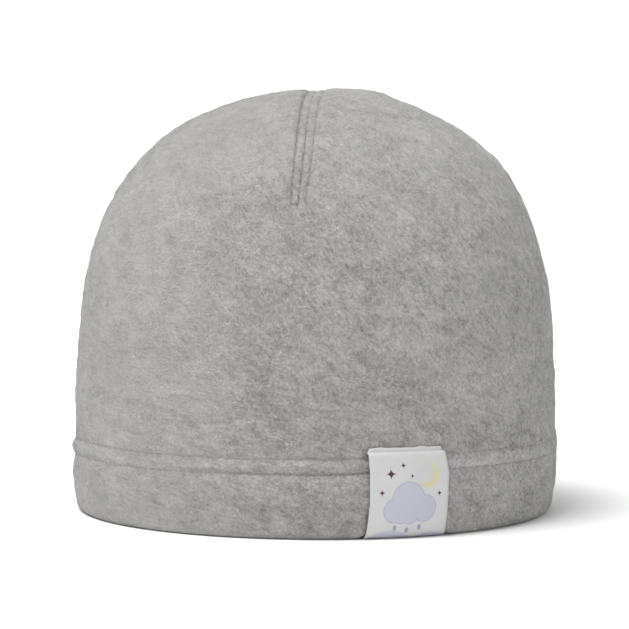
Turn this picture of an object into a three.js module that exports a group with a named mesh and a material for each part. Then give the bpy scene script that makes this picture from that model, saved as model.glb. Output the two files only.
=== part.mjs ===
// A baby's beanie in grey melange fleece, in millimetres, standing on its rim.
// +Z is up and -Y is the front. The origin is the middle of the rim, on the surface that it stands on.
// One cut of fleece makes the whole cap. Its edges meet in one seam, which starts as a dart above the
// forehead, runs over the crown and goes down the back to the rim. The lower edge is turned up inside as
// a hem, held by the two rows of a twin needle, and a ribbon label is folded round the rim.

import * as THREE from "three";

// Overall sizes, outside the cloth
const hatWidth = 150;
const hatDepth = 168;
const hatHeight = 128.4;
const clothThickness = 2.2;
const crownLean = 0.9; // how far the top leans towards +X

// Hem
const hemHeight = 22.4; // from the rim to the upper row of stitches
const needleGap = 4.7; // between the two rows
const rawEdgeMargin = 1.6; // the turned-up edge ends this far above the upper row
const plyGap = 0.4; // between the outer cloth and the turned-up cloth
const rimRadius = 1.9; // rounding of the fold on both sides of its flat foot
const grooveDepth = 0.9; // how far a row of stitches pulls the fleece in
const grooveWidth = 0.8;
const shoulder = 1.3; // from a row of stitches to where the fleece is full again
const ridgePuff = 1.1; // how far the fleece stands out between the two rows
const hemPuff = 1.1; // and below them
const rimTaper = 1; // how far the rim is drawn in

// Seam over the crown
const dartDrop = 37; // from the top of the crown down to the lower end of the front dart
const dartFade = 3; // length over which the dart runs out
const seamDepth = 0.6; // of the ditch and of the two rows of stitches beside it
const allowanceWidth = 8; // of the seam allowance, laid open inside
const allowanceThickness = 1.5;

// Ribbon label
const labelWidth = 25;
const labelThickness = 1;
const labelTurn = 25.8; // degrees from the middle of the front, towards +X
const labelTop = 3.2; // its upper edge stands this far above the upper row
const labelInside = 18; // height of its inner end above the rim
const labelClearance = 0.3; // between the label and the fleece
const labelEase = 4; // length over which the rim rises beside the label

// Spacing of the faces
const seamColumns = [0.25, 0.5, 0.8]; // beside the seam, as shares of the gap between its rows
const roundColumns = 34; // on each half, from the front to the back
const crownRings = 15;
const liningRings = 11;
const labelColumns = 8;
const ringSpread = 1.4; // 1 spaces the rings evenly, more brings them closer near the top

// The crown's outline from its top down to its foot, just above the upper row of stitches.
// up: share of the height between its foot and its top. side: share of half the width.
// front and back: shares of half the depth.
const crownRows = [
  { up: 1.0, side: 0.0, front: 0.0, back: 0.0 },
  { up: 0.985, side: 0.24, front: 0.25, back: 0.27 },
  { up: 0.94, side: 0.44, front: 0.46, back: 0.49 },
  { up: 0.87, side: 0.618, front: 0.64, back: 0.675 },
  { up: 0.79, side: 0.75, front: 0.765, back: 0.8 },
  { up: 0.69, side: 0.842, front: 0.86, back: 0.89 },
  { up: 0.58, side: 0.91, front: 0.925, back: 0.95 },
  { up: 0.44, side: 0.96, front: 0.972, back: 0.985 },
  { up: 0.28, side: 0.986, front: 0.993, back: 0.998 },
  { up: 0.12, side: 0.998, front: 1.0, back: 1.0 },
  { up: 0.0, side: 0.998, front: 0.998, back: 0.998 },
];

// Soft dents of the fleece. turn and wide: degrees round the hat, from the front towards +X.
// up and tall: shares of the height. deep: share of the cloth's thickness.
const dents = [
  { turn: 11, up: 0.57, wide: 5, tall: 0.12, deep: 0.35 },
  { turn: 72, up: 0.63, wide: 14, tall: 0.07, deep: 0.3 },
  { turn: -52, up: 0.34, wide: 16, tall: 0.07, deep: 0.3 },
  { turn: 48, up: 0.3, wide: 13, tall: 0.09, deep: 0.35 },
  { turn: -98, up: 0.42, wide: 15, tall: 0.08, deep: 0.5 },
  { turn: 128, up: 0.5, wide: 12, tall: 0.11, deep: 0.5 },
  { turn: -146, up: 0.36, wide: 13, tall: 0.1, deep: 0.55 },
];

// Sizes that follow from those above
const halfWidth = hatWidth / 2 - ridgePuff;
const halfDepth = hatDepth / 2 - ridgePuff;
const crownFoot = hemHeight + shoulder;
const crownHeight = hatHeight - crownFoot;
const lowerRow = hemHeight - needleGap;
const ridgeHeight = (hemHeight + lowerRow) / 2;
const foldDepth = 2 * clothThickness + plyGap;
const rawEdge = hemHeight + rawEdgeMargin;
const labelLift = labelThickness + labelClearance; // how far the rim rises over the label
const dartEnd = hatHeight - dartDrop;

const radians = THREE.MathUtils.degToRad;

// 1 at the middle of a groove or a dent, falling softly to 0.
function hump(distance, width) {
  return Math.exp(-((distance / width) ** 2));
}

// Degrees round the hat that a length of its rim takes at a turn.
function turnOfLength(length, turn) {
  const along = Math.hypot(halfWidth * Math.cos(radians(turn)), halfDepth * Math.sin(radians(turn)));
  return THREE.MathUtils.radToDeg(length / along);
}

// The outer face

// A spline down the crown that holds one column of crownRows, mirrored at the top so that it is smooth there.
function crownCurve(column) {
  const down = crownRows.map((row) => new THREE.Vector2(row[column], row.up));
  const mirrored = down.slice(1).map((point) => new THREE.Vector2(-point.x, point.y));
  return new THREE.SplineCurve([...mirrored.reverse(), ...down]);
}

const crownCurves = { side: crownCurve("side"), front: crownCurve("front"), back: crownCurve("back") };

// The reach of the outer face at a share of the way down the crown, 0 at the top and 1 at its foot.
function crownStation(share) {
  const at = 0.5 + share / 2;
  return {
    height: crownFoot + crownHeight * crownCurves.side.getPoint(at).y,
    side: crownCurves.side.getPoint(at).x,
    front: crownCurves.front.getPoint(at).x,
    back: crownCurves.back.getPoint(at).x,
  };
}

// Below its foot the outer face goes straight down, and its rim is drawn in a little.
function hemStation(height) {
  const foot = crownStation(1);
  const drawn = rimTaper * (1 - Math.min(height / lowerRow, 1)) ** 2;
  return {
    height,
    side: foot.side - drawn / halfWidth,
    front: foot.front - drawn / halfDepth,
    back: foot.back - drawn / halfDepth,
  };
}

// How far the fleece stands out at a height, between and below the rows of stitches.
function hemRelief(height) {
  const rows = hump(height - hemHeight, grooveWidth) + hump(height - lowerRow, grooveWidth);
  const ridge = hump(height - ridgeHeight, needleGap / 2.4);
  const band = Math.sin(Math.PI * THREE.MathUtils.clamp(height / lowerRow, 0, 1) ** 1.4);
  return ridgePuff * ridge + hemPuff * band - grooveDepth * rows;
}

// How far the middle of the hat is off towards +X at a height.
function leanAt(height) {
  return crownLean * THREE.MathUtils.smoothstep(height, hemHeight, hatHeight);
}

// 1 where the seam runs and 0 in front of the hat below its dart.
function seamShare(point) {
  const front = THREE.MathUtils.smoothstep(point.z, dartEnd - dartFade, dartEnd);
  return point.y > 0 ? 1 : front;
}

function fromSeam(point) {
  return Math.abs(point.x - leanAt(point.z));
}

// How far the seam's ditch and its two rows of stitches draw the fleece in.
function seamRelief(point) {
  const away = fromSeam(point);
  return -seamDepth * seamShare(point) * (hump(away, grooveWidth) + hump(away - needleGap / 2, grooveWidth));
}

// The seam allowance makes the cloth thicker inside, above the turned-up edge.
function allowance(point) {
  const within = 1 - THREE.MathUtils.smoothstep(fromSeam(point), allowanceWidth / 2, allowanceWidth / 2 + 1);
  return point.z > rawEdge ? allowanceThickness * within * seamShare(point) : 0;
}

function dentDepth(turn, height) {
  return dents.reduce((sum, dent) => {
    const round = THREE.MathUtils.euclideanModulo(turn - dent.turn + 180, 360) - 180;
    const rise = height / hatHeight - dent.up;
    return sum + dent.deep * clothThickness * hump(round, dent.wide) * hump(rise, dent.tall);
  }, 0);
}

// 1 under the label, 0 away from it.
function labelShare(turn) {
  const half = turnOfLength(labelWidth / 2, labelTurn);
  const ease = turnOfLength(labelEase, labelTurn);
  return 1 - THREE.MathUtils.smoothstep(Math.abs(turn - labelTurn), half, half + ease);
}

function plainPoint(station, turn) {
  const ahead = Math.cos(radians(turn));
  const depth = halfDepth * (ahead > 0 ? station.front : station.back);
  const aside = halfWidth * station.side * Math.sin(radians(turn));
  return new THREE.Vector3(aside + leanAt(station.height), -depth * ahead, station.height);
}

// The direction straight out of the cloth at a turn, from the stations above and below.
function outward(above, below, turn) {
  const round = plainPoint(below, turn + 0.5).sub(plainPoint(below, turn - 0.5));
  const up = plainPoint(above, turn).sub(plainPoint(below, turn));
  return round.cross(up).normalize();
}

// A point of the cloth at a turn. inset is its depth under the outer face, which carries the relief.
function clothPoint(above, station, below, turn, inset, relief) {
  const normal = outward(above, below, turn);
  const plain = plainPoint(station, turn).addScaledVector(normal, -dentDepth(turn, station.height));
  const out = relief ? hemRelief(plain.z) + seamRelief(plain) : -inset - allowance(plain);
  const point = plain.addScaledVector(normal, out);
  const squeeze = Math.max(0, 1 - station.height / hemHeight);
  point.z += labelLift * labelShare(turn) * squeeze;
  return point;
}

// Solids from points

// A closed solid through rings of equally many points, with one point at each end.
function solidThroughRings(first, rings, last) {
  const count = rings[0].length;
  const points = [first, ...rings.flat(), last];
  const at = (ring, column) => 1 + ring * count + (column % count);
  const faces = [];
  for (let column = 0; column < count; column++) {
    faces.push(0, at(0, column), at(0, column + 1));
    for (let ring = 0; ring < rings.length - 1; ring++) {
      const corners = [at(ring, column), at(ring + 1, column), at(ring + 1, column + 1), at(ring, column + 1)];
      faces.push(corners[0], corners[1], corners[2], corners[0], corners[2], corners[3]);
    }
    faces.push(points.length - 1, at(rings.length - 1, column + 1), at(rings.length - 1, column));
  }
  return geometryOf(points, faces);
}

// A closed solid along a folded strip. Each section has two sides with equally many points.
function solidThroughStrips(sections) {
  const length = sections[0].face.length;
  const loops = sections.map((section) => [...section.face, ...section.back.slice().reverse()]);
  const count = 2 * length;
  const faces = [];
  const at = (loop, index) => loop * count + (index % count);
  for (let loop = 0; loop < loops.length - 1; loop++) {
    for (let index = 0; index < count; index++) {
      const corners = [at(loop, index), at(loop + 1, index), at(loop + 1, index + 1), at(loop, index + 1)];
      faces.push(corners[0], corners[1], corners[2], corners[0], corners[2], corners[3]);
    }
  }
  const end = loops.length - 1;
  for (let index = 0; index < length - 1; index++) {
    const [a, b, c, d] = [index, index + 1, count - 2 - index, count - 1 - index];
    faces.push(at(0, a), at(0, b), at(0, c), at(0, a), at(0, c), at(0, d));
    faces.push(at(end, a), at(end, c), at(end, b), at(end, a), at(end, d), at(end, c));
  }
  return geometryOf(loops.flat(), faces);
}

function geometryOf(points, faces) {
  const geometry = new THREE.BufferGeometry().setFromPoints(points);
  geometry.setIndex(faces);
  geometry.computeVertexNormals();
  return geometry;
}

// Crown and hem

// Turns of the columns beside the seam at a station, where they keep their distance from it.
function besideSeam(station) {
  const width = Math.max(halfWidth * station.side, needleGap);
  return seamColumns.map((share) => THREE.MathUtils.radToDeg(Math.asin((share * needleGap) / width)));
}

// Shares of the way from the front to the back for the other columns: even ones and the label's edges.
function roundShares() {
  const first = besideSeam(hemStation(0)).at(-1);
  const even = Array.from({ length: roundColumns - 1 }, (_, index) => (index + 1) / roundColumns);
  const edges = [labelWidth / 2, labelWidth / 2 + labelEase].flatMap((length) => {
    const beside = turnOfLength(length, labelTurn);
    return [labelTurn - beside, labelTurn + beside].map((turn) => (turn - first) / (180 - 2 * first));
  });
  const clear = even.filter((share) => edges.every((edge) => Math.abs(share - edge) > 0.3 / roundColumns));
  return [...clear, ...edges].sort((a, b) => a - b);
}

// Turns of all the columns at a station, once round from the front.
function columnTurns(station, shares) {
  const beside = besideSeam(station);
  const first = beside.at(-1);
  const round = shares.map((share) => first + share * (180 - 2 * first));
  const half = [...beside, ...round, ...beside.map((turn) => 180 - turn).reverse()];
  return [0, ...half, 180, ...half.map((turn) => -turn).reverse()];
}

function makeCrown() {
  const shares = roundShares();
  const ring = (above, station, below, inset, relief) =>
    columnTurns(station, shares).map((turn) => clothPoint(above, station, below, turn, inset, relief));

  // The rings of a face down the crown, without its top, closer together near the top.
  const crownFace = (count, inset, relief) =>
    Array.from({ length: count }, (_, index) => {
      const shares = [index + 0.5, index + 1, index + 1.5].map((step) => (step / count) ** ringSpread);
      const below = shares[2] < 1 ? crownStation(shares[2]) : hemStation(hemHeight);
      return ring(crownStation(shares[0]), crownStation(shares[1]), below, inset, relief);
    });

  // A ring of the hem, whose cloth stands upright.
  const hemRing = (height, inset, relief) => {
    const station = hemStation(height);
    return ring({ ...station, height: height + 1 }, station, { ...station, height: height - 1 }, inset, relief);
  };

  const outerHeights = [
    hemHeight,
    hemHeight - shoulder,
    ridgeHeight,
    lowerRow + shoulder,
    lowerRow,
    lowerRow - shoulder,
    lowerRow * 0.75,
    lowerRow * 0.5,
    lowerRow * 0.3,
    rimRadius,
  ];
  const corner = Math.SQRT1_2 * rimRadius;
  const flatIn = foldDepth - rimRadius;
  const rings = [
    ...crownFace(crownRings, 0, true),
    ...outerHeights.map((height) => hemRing(height, 0, true)),
    hemRing(rimRadius - corner, rimRadius - corner, false),
    hemRing(0, rimRadius, false),
    hemRing(0, flatIn, false),
    hemRing(rimRadius - corner, flatIn + corner, false),
    hemRing(rimRadius, foldDepth, false),
    hemRing(hemHeight / 2, foldDepth, false),
    hemRing(rawEdge, foldDepth, false),
    hemRing(rawEdge, clothThickness + plyGap, false),
    hemRing(hemHeight / 2, clothThickness + plyGap, false),
    hemRing(clothThickness, clothThickness + plyGap, false),
    hemRing(clothThickness, clothThickness, false),
    hemRing(hemHeight / 2, clothThickness, false),
    ...crownFace(liningRings, clothThickness, false).reverse(),
  ];
  const top = crownStation(0);
  const outerTop = plainPoint(top, 0);
  const innerTop = outerTop.clone();
  outerTop.z += seamRelief(outerTop);
  innerTop.z -= clothThickness + allowance(outerTop);
  return solidThroughRings(outerTop, rings, innerTop);
}

// Ribbon label

function makeLabel() {
  const turns = Array.from({ length: labelColumns + 1 }, (_, index) => {
    const length = labelWidth * (index / labelColumns - 0.5);
    return labelTurn + turnOfLength(length, labelTurn);
  });

  // The ribbon's course round the hem, from its upper edge outside to its end inside.
  // stand: how far its side that faces the fleece is outside the plain cloth.
  const inside = foldDepth + labelClearance;
  const bend = labelThickness + rimRadius * (1 - Math.SQRT1_2);
  const course = [
    { height: hemHeight + labelTop, stand: labelClearance },
    { height: hemHeight + labelTop / 2, stand: labelClearance },
    { height: ridgeHeight, stand: ridgePuff + labelClearance },
    { height: lowerRow * 0.6, stand: hemPuff + labelClearance },
    { height: lowerRow * 0.3, stand: hemRelief(lowerRow * 0.3) + labelClearance },
    { height: labelLift + rimRadius, stand: 2 * labelClearance },
    { height: bend, stand: 0 },
    { height: labelThickness, stand: -rimRadius },
    { height: labelThickness, stand: rimRadius - foldDepth },
    { height: bend, stand: -foldDepth },
    { height: labelLift + rimRadius, stand: -inside },
    { height: labelInside, stand: -inside },
  ];
  const sections = turns.map((turn) => {
    const normal = outward({ ...hemStation(0), height: 1 }, hemStation(0), turn);
    const line = course.map(({ height, stand }) => new THREE.Vector2(stand, height));
    const place = (point) => plainPoint(hemStation(point.y), turn).addScaledVector(normal, point.x);
    return { face: line.map(place), back: offsetLine(line, labelThickness).map(place) };
  });
  return solidThroughStrips(sections);
}

// An open line moved sideways by a distance, to its left as it is drawn.
function offsetLine(line, distance) {
  return line.map((point, index) => {
    const before = line[Math.max(index - 1, 0)];
    const after = line[Math.min(index + 1, line.length - 1)];
    const incoming = (index ? point.clone().sub(before) : after.clone().sub(point)).normalize();
    const outgoing = (index < line.length - 1 ? after.clone().sub(point) : incoming.clone()).normalize();
    const along = incoming.clone().add(outgoing).normalize();
    const stretch = 1 / Math.max(0.5, along.dot(incoming));
    return new THREE.Vector2(-along.y, along.x).multiplyScalar(distance * stretch).add(point);
  });
}

// Materials and assembly

const fleece = new THREE.MeshStandardMaterial({ color: 0xa9a9a7, roughness: 0.95, metalness: 0 });
const ribbon = new THREE.MeshStandardMaterial({ color: 0xdcdcda, roughness: 0.45, metalness: 0 });

function namedMesh(name, geometry, material) {
  const mesh = new THREE.Mesh(geometry, material);
  mesh.name = name;
  return mesh;
}

const hat = new THREE.Group();
hat.add(namedMesh("crown_and_hem", makeCrown(), fleece));
hat.add(namedMesh("label", makeLabel(), ribbon));

export default hat;
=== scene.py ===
# A baby's beanie in grey melange fleece, standing on its rim on a pale studio floor.
# The front of the hat faces -Y, +Z is up, and the middle of the rim is the origin.

import math

import bmesh
import bpy
import numpy as np
from mathutils import Matrix, Vector, noise
from mathutils.bvhtree import BVHTree


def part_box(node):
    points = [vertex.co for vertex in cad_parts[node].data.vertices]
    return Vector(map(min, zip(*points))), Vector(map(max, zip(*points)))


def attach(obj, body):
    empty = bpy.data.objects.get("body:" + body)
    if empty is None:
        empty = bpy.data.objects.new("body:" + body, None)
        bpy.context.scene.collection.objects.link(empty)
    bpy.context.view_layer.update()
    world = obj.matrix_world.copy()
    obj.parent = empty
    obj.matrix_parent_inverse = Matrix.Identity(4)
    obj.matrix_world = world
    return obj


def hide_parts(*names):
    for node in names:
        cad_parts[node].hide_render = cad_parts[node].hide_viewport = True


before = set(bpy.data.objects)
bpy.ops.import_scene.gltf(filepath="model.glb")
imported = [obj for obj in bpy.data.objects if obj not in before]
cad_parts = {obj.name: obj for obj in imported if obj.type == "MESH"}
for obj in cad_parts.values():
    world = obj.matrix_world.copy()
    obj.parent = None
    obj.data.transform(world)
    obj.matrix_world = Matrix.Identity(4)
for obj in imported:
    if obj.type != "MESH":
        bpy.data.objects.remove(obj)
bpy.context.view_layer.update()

MM = 0.001


# Fleece cap
# The real cap is one cut of soft anti-pill fleece. One seam closes it: it starts as a dart above the
# forehead, runs over the crown and goes down the back. The lower edge is turned up inside as a hem.

cap_low, cap_high = (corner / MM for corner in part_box("crown_and_hem"))
cloth = 2.2
ply_gap = 0.4
hem_height = 22.4
needle_gap = 4.7
lower_row = hem_height - needle_gap
ridge_height = (hem_height + lower_row) / 2
crown_foot = hem_height + 1.3
raw_edge = hem_height + 1.6
fold = 2 * cloth + ply_gap
rim_radius = 1.9
rim_taper = 1.0
pile = 0.3
relief_room = 0.95
half_width = (cap_high.x - cap_low.x) / 2 - relief_room - pile
half_depth = (cap_high.y - cap_low.y) / 2 - relief_room - pile
hat_height = cap_high.z - pile
crown_lean = 0.9
dart_length = 35.5
dart_end = hat_height - dart_length
seam_offsets = np.array((0, 0.35, 0.7, 1.2, 1.65, 2.0, 2.35, 2.7, 3.05, 3.5, 4.2))
seam_row_width = 0.31
hem_row_width = 0.5
drift_reach = 2.6
label_turn = 25.8
label_width = 25
label_lift = 1.3
lift_fade = 4

# The crown's outline from its top down to its foot. up is a share of the height between the two, and
# the reaches are shares of half the width and half the depth.
crown_rows = {
    "up": (1.0, 0.985, 0.94, 0.87, 0.79, 0.69, 0.58, 0.44, 0.28, 0.12, 0.0),
    "side": (0.0, 0.24, 0.44, 0.618, 0.75, 0.842, 0.91, 0.96, 0.986, 0.998, 0.998),
    "front": (0.0, 0.25, 0.46, 0.64, 0.765, 0.86, 0.925, 0.972, 0.993, 1.0, 0.998),
    "back": (0.0, 0.27, 0.49, 0.675, 0.8, 0.89, 0.95, 0.985, 0.998, 1.0, 0.998),
}

# How the hem changes round the hat: values at turns in degrees from the front towards +X. rows_sunk is how
# far the two rows of stitches sink in, and upper_row_share is what the upper row has of that. How far each
# row rises from its level line, how far the band between them swells and how far the hem below them puffs
# out are in millimetres.
rows_sunk = {-180: 0.85, -120: 0.5, -90: 0.9, -78: 0.75, -69: 0.1, -35: 0.12, -18: 0.22, -11: 0.45,
             -4: 0.55, 6: 0.85, 25: 0.7, 42: 0.45, 50: 0.6, 60: 0.5, 74: 0.15, 90: 0.1, 140: 0.5, 180: 0.85}
upper_row_share = {-180: 0.7, -35: 0.7, -18: 1.2, -11: 0.3, -4: 0.6, 42: 0.7, 58: 0.35, 95: 0.35,
                   120: 0.7, 180: 0.7}
upper_row_rise = {-180: 0, -105: -1.6, -80: -1.6, -69: 0.1, -61: 0.4, -50: 0.25, -33: 0, 8: 0.05, 30: 0.7,
                  48: 0.6, 60: 0.2, 85: 0, 180: 0}
lower_row_rise = {-180: 0, -100: -1.2, -80: -1.2, -69: -0.2, -60: 0.35, -40: 0.2, -15: 0.5, 8: 0.5, 30: 1,
                  70: 1, 105: 0.2, 180: 0}
band_swell = {-180: 0.42, -108: 0.5, -92: 1.1, -78: 1.05, -69: 0.15, -45: 0.02, -25: 0.15, 0: 0.38,
              30: 0.55, 50: 0.85, 75: 0.55, 88: 0.25, 120: 0.42, 180: 0.42}
hem_puff = {-180: 1.1, -105: 1.0, -78: 0.75, -66: 0.4, -50: 0.25, -25: 0.42, 5: 1.1, 28: 1.15, 50: 0.8,
            70: 0.5, 86: 0.7, 105: 1.0, 180: 1.1}

# How much the pile stands in tufts, and how far its swirls stray from the way it lies, in degrees.
tufts_round = {-180: 1.0, -120: 0.7, -50: 0.6, -23: 0.77, -5: 1.2, 60: 1.35, 120: 1.1, 180: 1.0}
swirl_round = {-180: 60, -40: 45, 0: 80, 30: 170, 180: 90}

# Soft dents, and swellings where deep is below 0. turn and wide are in degrees from the front towards +X,
# up and tall are shares of the height, and deep is in millimetres.
cap_dents = (
    {"turn": 11, "up": 0.57, "wide": 5, "tall": 0.12, "deep": 0.7},
    {"turn": 64, "up": 0.635, "wide": 9, "tall": 0.03, "deep": 0.6},
    {"turn": -52, "up": 0.34, "wide": 16, "tall": 0.07, "deep": 0.65},
    {"turn": 48, "up": 0.3, "wide": 13, "tall": 0.09, "deep": 0.75},
    {"turn": -98, "up": 0.42, "wide": 15, "tall": 0.08, "deep": 1.1},
    {"turn": 128, "up": 0.5, "wide": 12, "tall": 0.11, "deep": 1.1},
    {"turn": -146, "up": 0.36, "wide": 13, "tall": 0.1, "deep": 1.2},
    {"turn": -82, "up": 0.81, "wide": 32, "tall": 0.05, "deep": 0.55},
    {"turn": -85, "up": 0.905, "wide": 30, "tall": 0.035, "deep": -0.3},
    {"turn": 80, "up": 0.93, "wide": 30, "tall": 0.06, "deep": 0.25},
    {"turn": -75, "up": 0.97, "wide": 34, "tall": 0.04, "deep": 0.3},
    {"turn": 88, "up": 0.22, "wide": 26, "tall": 0.12, "deep": -0.2},
    {"turn": 88, "up": 0.145, "wide": 24, "tall": 0.05, "deep": -0.6},
    {"turn": -92, "up": 0.22, "wide": 24, "tall": 0.07, "deep": 0.45},
    {"turn": 88, "up": 0.99, "wide": 50, "tall": 0.012, "deep": -0.85},
    {"turn": -88, "up": 0.99, "wide": 46, "tall": 0.012, "deep": 0.5},
)


def hump(distance, width):
    return np.exp(-((distance / width) ** 2))


def smooth(value, low, high):
    share = np.clip((value - low) / (high - low), 0, 1)
    return share * share * (3 - 2 * share)


def facing(turn):
    """The same turn, counted from the front from -180 to 180."""
    return (turn + 180) % 360 - 180


def marked(turn, marks):
    """The value at a turn, between those that marks gives."""
    return np.interp(turn, list(marks), list(marks.values()))


def spline(padded, step):
    """A smooth curve through values, at steps counted in values. padded has one more value at each end."""
    values = padded[1:-1]
    slopes = (padded[2:] - padded[:-2]) / 2
    low = np.clip(np.floor(step).astype(int), 0, len(values) - 2)
    t = (step - low).reshape(np.shape(step) + (1,) * (values.ndim - 1))
    start, end = values[low], values[low + 1]
    cubic = 2 * start - 2 * end + slopes[low] + slopes[low + 1]
    square = -3 * start + 3 * end - 2 * slopes[low] - slopes[low + 1]
    return ((cubic * t + square) * t + slopes[low]) * t + start


def crown_curve(column, share):
    """A spline down one column of crown_rows, mirrored at the top so that it is smooth there."""
    values = crown_rows[column]
    before = values[1] if column == "up" else -values[1]
    return spline(np.array([before, *values, values[-1]]), share * (len(values) - 1))


def crown_station(share):
    """Height and reaches of the plain outer face down the crown, one row for each share."""
    share = np.asarray(share, float)
    height = crown_foot + (hat_height - crown_foot) * crown_curve("up", share)
    return np.stack([height] + [crown_curve(name, share) for name in ("side", "front", "back")], -1)


def hem_station(height):
    height = np.asarray(height, float)
    foot = crown_station(np.ones_like(height))
    drawn = rim_taper * (1 - np.minimum(height / lower_row, 1)) ** 2
    reaches = foot[..., 1:] - drawn[..., None] / np.array([half_width, half_depth, half_depth])
    return np.concatenate([height[..., None], reaches], -1)


def lean_at(height):
    return crown_lean * smooth(height, hem_height, hat_height)


def plain_points(station, turn):
    """Points of the plain outer face: one row for each station, one column for each turn."""
    height, side, front, back = (station[..., i, None] for i in range(4))
    ahead = np.cos(np.radians(turn))
    reach = np.where(ahead > 0, front, back)
    x = half_width * side * np.sin(np.radians(turn)) + lean_at(height)
    return np.stack([x, -half_depth * reach * ahead, height + 0 * turn], -1)


def seam_spread(height):
    """The two rows of the seam come a little closer together at the lower end of the dart."""
    return 0.85 + 0.15 * smooth(height, dart_end, dart_end + 14)


def column_turns(station, count):
    """Turns of the columns at a station. Those beside the seam keep their distance from it."""
    beside = seam_offsets * seam_spread(station[..., 0, None])
    width = np.maximum(half_width * station[..., 1, None], 6.5)
    near = np.degrees(np.arcsin(beside / width))
    between = count // 2 - 2 * len(seam_offsets) + 1
    share = np.arange(1, between + 1) / (between + 1)
    last = near[..., -1:]
    half = np.concatenate([near, last + share * (180 - 2 * last), 180 - near[..., :0:-1]], -1)
    return np.concatenate([half, 180 + half], -1)


def hem_rows(height, turn):
    """How deep each point lies in the two rows of stitches."""
    upper = marked(facing(turn), upper_row_share) * hump(height - hem_height, hem_row_width)
    return marked(facing(turn), rows_sunk) * (upper + hump(height - lower_row, hem_row_width))


def hem_drift(height, turn):
    """How far the two rows of stitches wander up from their level line round the hem."""
    upper = marked(facing(turn), upper_row_rise) * hump(height - hem_height, drift_reach)
    lower = marked(facing(turn), lower_row_rise) * hump(height - lower_row, drift_reach)
    return upper + lower


def hem_relief(height, turn):
    """How far the band between the rows swells and the hem below them puffs out, less the rows' grooves."""
    ridge = hump(height - ridge_height, needle_gap / 2.4)
    band = np.sin(np.pi * np.clip(height / lower_row, 0, 1) ** 1.4)
    out = marked(facing(turn), band_swell) * ridge + marked(facing(turn), hem_puff) * band
    return out - 0.5 * hem_rows(height, turn)


def seam_share(points):
    front = smooth(points[..., 2], dart_end - 1.5, dart_end + 1)
    return np.where(points[..., 1] > 0, 1, front)


def seam_away(points):
    """Distance from the seam's middle, counted so that its rows lie at half the needle gap."""
    spread = np.where(points[..., 1] < 0, seam_spread(points[..., 2]), 1)
    return np.abs(points[..., 0] - lean_at(points[..., 2])) / spread


def seam_rows(points):
    """The seam's rows, middle line and bar. At the front the right row and the upper middle are fainter."""
    away = seam_away(points)
    front = points[..., 1] < 0
    left = points[..., 0] < lean_at(points[..., 2])
    outer = np.where(front & ~left, 0.95, 1.15) * hump(away - needle_gap / 2, seam_row_width)
    middle = (1.05 - 0.35 * front * smooth(points[..., 2], 111, 118)) * hump(away, seam_row_width)
    bar = (left & front & (away < needle_gap / 2)) * hump(points[..., 2] - dart_end, 0.4)
    return seam_share(points) * (outer + middle) + 0.9 * bar


def seam_relief(points):
    """The seam's band is pressed down, with a ditch along its middle and a row of stitches on each side."""
    deep = 0.15 + 0.4 * smooth(points[..., 2], 112, 122)
    band = deep * (1 - smooth(seam_away(points), needle_gap / 2, needle_gap / 2 + 1.6))
    return -seam_share(points) * band - 0.5 * seam_rows(points)


def allowance(points):
    """How far the seam's allowance stands in from the cloth inside, less where it is stitched down."""
    away = seam_away(points)
    within = 1 - smooth(away, 3.8, 4.4)
    stitched = 0.5 * hump(away - needle_gap / 2, 0.5) + 0.6 * hump(away, 0.5)
    return np.where(points[..., 2] > raw_edge, seam_share(points) * (1.5 * within - stitched * within), 0)


def dents_at(turn, height):
    total = 0 * turn
    for dent in cap_dents:
        beside = hump(facing(turn - dent["turn"]), dent["wide"])
        above = hump(height / hat_height - dent["up"], dent["tall"])
        total = total + dent["deep"] * beside * above
    return total


def pile_lean(turn, height):
    """0 where the pile lies nearly level, 1 where it slants down steeply to the right."""
    low = 0.35 + 0.65 * smooth(turn, 10, 40)
    return smooth(turn, -65, 25) * (1 - smooth(turn, 110, 170)) * (low + (1 - low) * smooth(height, 20, 75))


def swept(points, size, lean):
    """Noise in streaks that run the way the pile lies, longer where it lies level."""
    total = 0
    for slant, stretch, share in ((10, 2.6, 1 - lean), (52, 1.4, lean)):
        level, steep = math.cos(math.radians(slant)), math.sin(math.radians(slant))
        along = (points[:, 0] * level - points[:, 2] * steep) / stretch
        across = points[:, 0] * steep + points[:, 2] * level
        places = np.stack([along, points[:, 1] / stretch, across], -1) / size
        total = total + share * np.array([noise.noise(Vector(place)) for place in places])
    return total / np.hypot(1 - lean, lean)


def unevenness(points):
    """Soft waves of the cloth, and the clumps of its pile."""
    flat = points.reshape(-1, 3)
    lean = pile_lean(np.degrees(np.arctan2(flat[:, 0], -flat[:, 1])), flat[:, 2])
    waves = [0.35 * noise.noise(Vector(p) / 24) + 0.25 * noise.noise(Vector(p) / 8) for p in flat]
    clumps = 0.32 * swept(flat, 2.5, lean) + 0.14 * swept(flat, 1.3, lean)
    return np.array(waves).reshape(points.shape[:-1]), clumps.reshape(points.shape[:-1])


def tufted(turn, height):
    """The pile lies smooth on the left and over the top, and stands in tufts elsewhere."""
    rough_hem = 0.3 * smooth(turn, 25, 50) * (1 - smooth(height, 14, 32))
    return marked(turn, tufts_round) * (1 - 0.3 * smooth(height, 60, 115)) + rough_hem


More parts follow.
